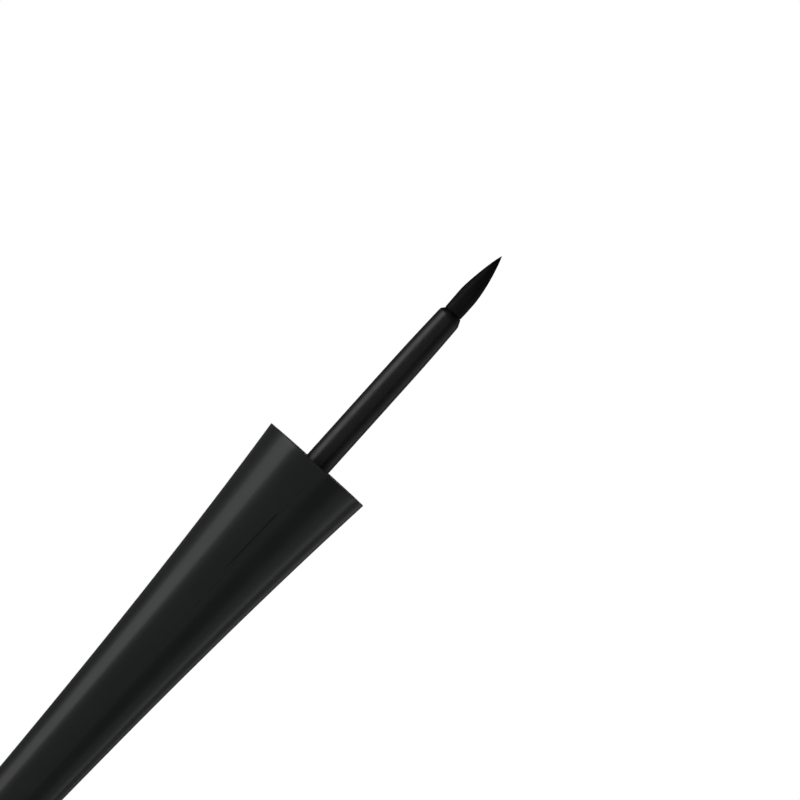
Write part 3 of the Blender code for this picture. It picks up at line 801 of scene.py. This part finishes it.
root_top = ceiling + STEM_ROOT
collar_top = ceiling - SEAT_GAP
collar_under = collar_top - COLLAR_HEIGHT
socket_floor = STEM_BOTTOM + SOCKET_DEPTH
profile = [(0.0, root_top), (STEM_ROOT_RADIUS, root_top)]
for i in range(1, BARBS + 1):
    foot = root_top - STEM_ROOT / (BARBS + 1) * i
    profile += [(STEM_ROOT_RADIUS + STEM_BARB, foot), (STEM_ROOT_RADIUS, foot)]
profile += [(STEM_ROOT_RADIUS, collar_top), (COLLAR_RADIUS, collar_top)]
profile += [(COLLAR_RADIUS, collar_under)]
profile += wall(stem_radius, collar_under, STEM_BOTTOM + STEM_NOSE, steps=2 * WALL_STEPS)
profile += [(STEM_MOUTH_RADIUS, STEM_BOTTOM), (SOCKET_MOUTH_RADIUS, STEM_BOTTOM)]
profile += [(SOCKET_RADIUS, STEM_BOTTOM + SOCKET_FLARE), (SOCKET_RADIUS, socket_floor)]
profile += [(0.0, socket_floor)]
rod = turn(profile, steps=STEM_STEPS)
round_ring(rod, COLLAR_RADIUS, collar_top, COLLAR_EDGE, segments=3)
round_ring(rod, COLLAR_RADIUS, collar_under, COLLAR_EDGE, segments=3)
round_ring(rod, STEM_END_RADIUS, STEM_BOTTOM + STEM_NOSE, STEM_SHOULDER)
round_ring(rod, STEM_MOUTH_RADIUS, STEM_BOTTOM, STEM_EDGE)
for vert in rod.verts:
    above = vert.co.z - STEM_BOTTOM
    outside = vert.co.to_2d().length > STEM_MOUTH_RADIUS - STEM_OUTSIDE
    if outside and 0 < above < STEM_UNEVEN_TO:
        fading = (STEM_UNEVEN_TO - above) / (STEM_UNEVEN_TO - STEM_NOSE)
        reach = min(above / STEM_NOSE, fading)
        vert.co.z -= STEM_UNEVEN * vert.co.x / STEM_END_RADIUS * reach
mark_joint(rod, beyond=STEM_MOUTH_RADIUS + JOINT_MARGIN)
stem_black = smooth_black("stem_smooth_black", STEM_ROUGHNESS, ripple=STEM_RIPPLE, gloss=STEM_GLOSS)
tree = stem_black.node_tree
inked_from, inked_to = STEM_BOTTOM + END_INK_FROM, STEM_BOTTOM + END_INK_TO
inked = mapped(tree, height_of(tree, in_mm(tree)), inked_from, inked_to, low=1.0, high=0.0)
repaint(stem_black, inked, END_INK)
finish(rod, "applicator_stem", "applicator", stem_black)


# Anchor staple: a short flat steel wire, rolled bright, that is pressed across the bottom of the
# socket and holds the doubled-over root of the brush. Nothing of it shows from outside.
STAPLE_MARKS = 0.05
staple_steel = polished_steel("staple_steel", marks=STAPLE_MARKS)
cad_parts["anchor_staple"].material_slots[0].material = staple_steel


# Brush tuft: four hundred fine tapered filaments, bound at the root and set in the socket. Wet ink
# draws them together to one flame with a point, which leans a little to one side.
TUFT_RADIUS = 1.178
TUFT_LENGTH = 8.64
TUFT_SWELL_AT = 2.8
TUFT_MOUTH_RADIUS = 1.135
TUFT_ROOT_RADIUS = 0.86
TUFT_ROOT_DEPTH = 1.9
TUFT_BINDING = 0.1
TUFT_CLEARANCE = 0.03
TUFT_OFF_CENTRE = 0.05
TUFT_BEND = 0.19
TUFT_BEND_POWER = 1.6
FLAME_BULGE = 1.35
FLAME_BLUNT = 0.84
INK_CORE = 0.8
INK_CORE_STEPS = 24
INK_CORE_SIDES = 16
INK_CORE_POINT = 0.3
STRANDS_ACROSS = 20
STRAND_GAP = 0.005
STRAND_STEPS = 12
STRAND_MOUTH = 0.08
STRAND_STAGGER = 0.22
STRAND_STAGGER_POWER = 1.5
STRAND_TAPER_FROM = 0.65
STRAND_POINT = 0.45
STRAND_WANDER = 0.008
STRAND_LOOSENS = 3
STRAND_SWAY = 9
STRAND_DIP = 7
CLUMPS = 5
CLUMP_DRIFT = 2.0
CLUMP_TURN = 1.3
CLUMP_DEPTH = 0.03
CHANCE_SEED = 11

INK_DRY = (0.0042, 0.0042, 0.0043, 1.0)
INK_WET = (0.0062, 0.0062, 0.0063, 1.0)
# The next colour is a painted highlight, laid on the ink near the stem.
PAINTED_HIGHLIGHT_INK = (0.0075, 0.0075, 0.0076, 1.0)
INK_POOL = (0.0008, 0.0008, 0.0008, 1.0)
PAINTED_HIGHLIGHT_FROM = 4.4
PAINTED_HIGHLIGHT_TO = 2.2
INK_POOL_FROM = 0.16
INK_POOL_TO = 0.04
STREAK_SIZE = 0.16
STREAK_DEPTH = 0.002
STREAK_STRETCH = 0.12
WET_PATCH = 1.4
WET_ROUGHNESS = (0.32, 0.46)
INK_IOR = 1.4
INK_GLOSS = 0.12


def flame_radius(below):
    """Outline of the wet tuft at a depth below the stem."""
    if below < TUFT_SWELL_AT:
        early = (TUFT_SWELL_AT - below) / TUFT_SWELL_AT
        return TUFT_RADIUS - (TUFT_RADIUS - TUFT_MOUTH_RADIUS) * early**2
    late = min(1.0, (below - TUFT_SWELL_AT) / (TUFT_LENGTH - TUFT_SWELL_AT))
    return TUFT_RADIUS * (1 - late**FLAME_BULGE) ** FLAME_BLUNT


def bend_at(below):
    """How far the ink has drawn the tuft aside at a depth below the stem."""
    if below < 0:
        return 0.0
    return TUFT_OFF_CENTRE + TUFT_BEND * (below / TUFT_LENGTH) ** TUFT_BEND_POWER


def packed_round(spot):
    """Moves a place on a square sheet of strands into a round bundle, ring by ring."""
    x, y = spot.x, spot.y
    if x == y == 0:
        return spot
    if abs(x) > abs(y):
        reach, around = x, math.pi / 4 * y / x
    else:
        reach, around = y, math.pi / 2 - math.pi / 4 * x / y
    return Vector((reach * math.cos(around), reach * math.sin(around), 0.0))


def wet_ink(name):
    """Filaments soaked in ink that pools round their root; a painted highlight near the stem."""
    material, tree, shader = new_material(name)
    place, along_strand = in_mm(tree), in_mm(tree, along=STREAK_STRETCH)
    streaks = uneven(tree, along_strand, size=STREAK_SIZE)
    soaked = shaded(tree, streaks, INK_DRY, INK_WET)
    height = height_of(tree, place)
    highlight_near_stem = mapped(tree, height, STEM_BOTTOM - PAINTED_HIGHLIGHT_FROM, STEM_BOTTOM - PAINTED_HIGHLIGHT_TO)
    pooled = mapped(tree, height, STEM_BOTTOM - INK_POOL_FROM, STEM_BOTTOM - INK_POOL_TO)
    # The ink is painted lighter near the stem: a painted highlight.
    colour = over(tree, over(tree, soaked, highlight_near_stem, PAINTED_HIGHLIGHT_INK), pooled, INK_POOL)
    wetness = uneven(tree, place, WET_PATCH, *WET_ROUGHNESS, detail=4.0)
    skin = relief(tree, streaks, STREAK_DEPTH)
    fill(tree, shader, Base_Color=colour, Roughness=wetness, Normal=skin)
    fill(tree, shader, IOR=INK_IOR, Specular_IOR_Level=INK_GLOSS)
    return material


tuft = bmesh.new()
bmesh.ops.create_grid(tuft, x_segments=STRANDS_ACROSS, y_segments=STRANDS_ACROSS, size=1.0)
for vert in tuft.verts:
    vert.co = packed_round(vert.co)
number = tuft.faces.layers.int.new("strand")
strands = tuft.faces[:]
bmesh.ops.inset_individual(tuft, faces=strands, thickness=STRAND_GAP, use_even_offset=True)
chance = random.Random(CHANCE_SEED)
habits = []
for i, strand in enumerate(strands):
    strand[number] = i
    corners = [vert.co.to_2d() for vert in strand.verts]
    middle = sum(corners, Vector((0.0, 0.0))) / len(corners)
    short = 1 - STRAND_STAGGER * middle.length * chance.random() ** STRAND_STAGGER_POWER
    sway_from, dip_from = chance.uniform(0, math.tau), chance.uniform(0, math.tau)
    habits.append((middle, corners, short, sway_from, dip_from))
border = [edge for edge in tuft.edges if edge.is_boundary]
bound = bmesh.ops.extrude_edge_only(tuft, edges=border)["geom"]
bound_verts = [item for item in bound if isinstance(item, bmesh.types.BMVert)]
bmesh.ops.translate(tuft, verts=bound_verts, vec=(0.0, 0.0, TUFT_BINDING))
bmesh.ops.holes_fill(tuft, edges=[edge for edge in tuft.edges if edge.is_boundary], sides=0)
for vert in tuft.verts:
    height = TUFT_ROOT_DEPTH + vert.co.z
    vert.co = (vert.co.x * TUFT_ROOT_RADIUS, vert.co.y * TUFT_ROOT_RADIUS, height)
for step in range(STRAND_STEPS + 2):
    strands = bmesh.ops.extrude_discrete_faces(tuft, faces=strands)["faces"]
    for strand in strands:
        middle, corners, short, sway_from, dip_from = habits[strand[number]]
        share = max(0, step - 1) / STRAND_STEPS
        below = STRAND_MOUTH + (TUFT_LENGTH * short - STRAND_MOUTH) * share
        grown = below / TUFT_LENGTH
        facing = math.atan2(middle.y, middle.x)
        wave = math.sin(CLUMPS * facing + CLUMP_DRIFT * math.sin(facing) + CLUMP_TURN)
        clump = 0.5 + 0.5 * wave
        spread = flame_radius(below) * (1 - CLUMP_DEPTH * clump * grown)
        if step == 0:
            below, spread = -SOCKET_FLARE, SOCKET_RADIUS - TUFT_CLEARANCE
        late = max(0.0, (share - STRAND_TAPER_FROM) / (1 - STRAND_TAPER_FROM))
        thick = 1 - (1 - STRAND_POINT) * late**2
        loose = STRAND_WANDER * min(1.0, STRAND_LOOSENS * grown) * spread
        sway = math.sin(sway_from + STRAND_SWAY * grown) * loose
        dip = (1 + math.sin(dip_from + STRAND_DIP * grown)) * loose
        shift = Vector((-middle.y, middle.x)) * sway - middle * dip
        for vert, corner in zip(strand.verts, corners):
            flat = (middle + (corner - middle) * thick) * spread + shift
            vert.co = (flat.x + bend_at(below), flat.y, -below)

profile = [(0.0, SOCKET_FLARE), (INK_CORE * SOCKET_RADIUS, SOCKET_FLARE)]
for i in range(INK_CORE_STEPS):
    below = TUFT_LENGTH * i / INK_CORE_STEPS
    profile.append((INK_CORE * flame_radius(below), -below))
profile.append((0.0, -TUFT_LENGTH * (1 - INK_CORE_POINT / INK_CORE_STEPS)))
core = turn(profile, steps=INK_CORE_SIDES)
for vert in core.verts:
    vert.co.x += bend_at(-vert.co.z)
core_mesh = as_mesh(core, "ink_core")
tuft.from_mesh(core_mesh)
bpy.data.meshes.remove(core_mesh)
bmesh.ops.recalc_face_normals(tuft, faces=tuft.faces)
bmesh.ops.translate(tuft, verts=tuft.verts, vec=(0.0, 0.0, STEM_BOTTOM))
finish(tuft, "brush_tuft", "applicator", wet_ink("tuft_wet_ink"))


# Floor: a round sheet of matt white paper under the bottle. It fades into the white backdrop
# towards its edge, so that only the soft shadow of the object shows, and it can't be seen from
# below.
FLOOR_RADIUS = 280.0
FLOOR_STEPS = 128
FLOOR_FADE_FROM = 120.0
FLOOR_GLOW = 0.15
PAPER_SHADE = (0.86, 0.86, 0.86, 1.0)
PAPER_LIGHT = (0.90, 0.90, 0.90, 1.0)
PAPER_FIBRES = 0.8
PAPER_ROUGHNESS = 0.9
WHITE = (1.0, 1.0, 1.0, 1.0)


def fading_paper(name):
    material, tree, shader = new_material(name)
    place = in_mm(tree)
    fibres = uneven(tree, place, size=PAPER_FIBRES, detail=4.0)
    colour = shaded(tree, fibres, PAPER_SHADE, PAPER_LIGHT)
    fade = mapped(tree, off_axis(tree, place), FLOOR_FADE_FROM, FLOOR_RADIUS)
    under = add(tree, "NewGeometry").outputs["Backfacing"]
    shown = mapped(tree, larger(tree, fade, under), 0.0, 1.0, low=1.0, high=0.0)
    watched = times(tree, add(tree, "LightPath").outputs["Is Camera Ray"], FLOOR_GLOW)
    fill(tree, shader, Base_Color=colour, Roughness=PAPER_ROUGHNESS, Alpha=shown)
    fill(tree, shader, Emission_Color=WHITE, Emission_Strength=watched)
    return material


sheet = bmesh.new()
bmesh.ops.create_circle(sheet, cap_ends=True, segments=FLOOR_STEPS, radius=FLOOR_RADIUS * MM)
floor = placed("floor", as_mesh(sheet, "floor"))
floor.data.materials.append(fading_paper("paper"))
floor.visible_glossy = False


# Light: tall soft boxes left and right of the object, which draw the long streaks down the black
# plastic. A white backdrop stands behind it, and the rest of the studio is kept dim.
LAMP_DISTANCE = 150.0
LAMP_MIDDLE = 140.0
LAMP_HEIGHT = 400.0
LAMP_LEAN = -17.0
LAMP_SPREAD = 100.0
ROOM_LIGHT = 0.72
ROOM_GLOSS = 0.13
BACK_GLOSS = 0.05
BACK_EDGE = (0.1, 0.6)
BACKDROP_EDGE = (0.996, 0.9995)
BACKDROP_FOOT = (-0.12, -0.04)
FLOOR_GLOSS = 0.1
FLOOR_EDGE = (-0.5, -0.15)
CARD_TURN = -46.0
CARD_EDGE = (0.92, 0.98)
CARD_GLOSS = 0.05


def towards(turn_from_camera):
    """The level direction at that many degrees from the camera's side, turned towards +X."""
    angle = math.radians(turn_from_camera)
    return Vector((math.sin(angle), -math.cos(angle), 0.0))


def soft_box(name, turned, width, brightness, yaw=0.0):
    """An upright soft box that faces the object through a grid, that bright seen straight on."""
    lamp = bpy.data.lights.new(name, "AREA")
    lamp.shape = "RECTANGLE"
    lamp.size, lamp.size_y = width * MM, LAMP_HEIGHT * MM
    lamp.spread = math.radians(LAMP_SPREAD)
    half = lamp.spread / 2
    grid = math.tan(half) / (math.tan(half) - half)
    lamp.energy = brightness * math.pi * lamp.size * lamp.size_y / grid
    box = bpy.data.objects.new(name, lamp)
    box.location = (towards(turned) * LAMP_DISTANCE + Vector((0, 0, LAMP_MIDDLE))) * MM
    facing_object = (-towards(turned)).to_track_quat("-Z", "Y")
    yawed = Quaternion((0, 1, 0), math.radians(yaw))
    leaning = Quaternion((0, 0, 1), math.radians(LAMP_LEAN))
    box.rotation_euler = (facing_object @ yawed @ leaning).to_euler()
    box.visible_camera = False
    bpy.context.scene.collection.objects.link(box)


soft_box("key_soft_box", turned=77, width=106, brightness=1.10, yaw=-14)
soft_box("key_halo", turned=76, width=180, brightness=0.26)
soft_box("side_soft_box", turned=-92, width=90, brightness=0.06)
soft_box("side_strip", turned=-102, width=50, brightness=0.12)
soft_box("side_edge", turned=-106, width=26, brightness=0.24)
soft_box("back_strip", turned=-143, width=44, brightness=0.12)

world = bpy.data.worlds.new("studio")
world.use_nodes = True
bpy.context.scene.world = world
tree = world.node_tree
sent = add(tree, "LightPath").outputs
outward = add(tree, "TexCoord").outputs["Generated"]
upwards = height_of(tree, outward)
level = level_part(tree, outward)
heading = maths(tree, "NORMALIZE", level, kind="VectorMath", result="Vector")


def facing_to(direction, edge, low, high):
    """Goes from low to high where the heading comes near a direction."""
    near = maths(tree, "DOT_PRODUCT", heading, direction, kind="VectorMath")
    return mapped(tree, near, *edge, low, high)


def background(strength):
    return add(tree, "Background", Color=WHITE, Strength=strength).outputs["Background"]


def either(amount, first, second):
    mix = add(tree, "MixShader", Fac=amount)
    put(tree, first, mix.inputs[1])
    put(tree, second, mix.inputs[2])
    return mix.outputs["Shader"]


above_floor = mapped(tree, upwards, *BACKDROP_FOOT)
backdrop = times(tree, facing_to(towards(180), BACKDROP_EDGE, 0.0, 1.0), above_floor)
walls = facing_to(towards(180), BACK_EDGE, ROOM_GLOSS, BACK_GLOSS)
dim = times(tree, facing_to(towards(CARD_TURN), CARD_EDGE, 1.0, CARD_GLOSS), walls)
dim = times(tree, dim, mapped(tree, upwards, *FLOOR_EDGE, FLOOR_GLOSS, 1.0))
mirrored = background(larger(tree, backdrop, dim))
seen = larger(tree, sent["Is Camera Ray"], sent["Is Transmission Ray"])
unseen = either(sent["Is Glossy Ray"], background(ROOM_LIGHT), mirrored)
put(tree, either(seen, unseen, background(1.0)), tree.nodes["World Output"].inputs["Surface"])

bpy.context.scene.view_settings.view_transform = "Standard"
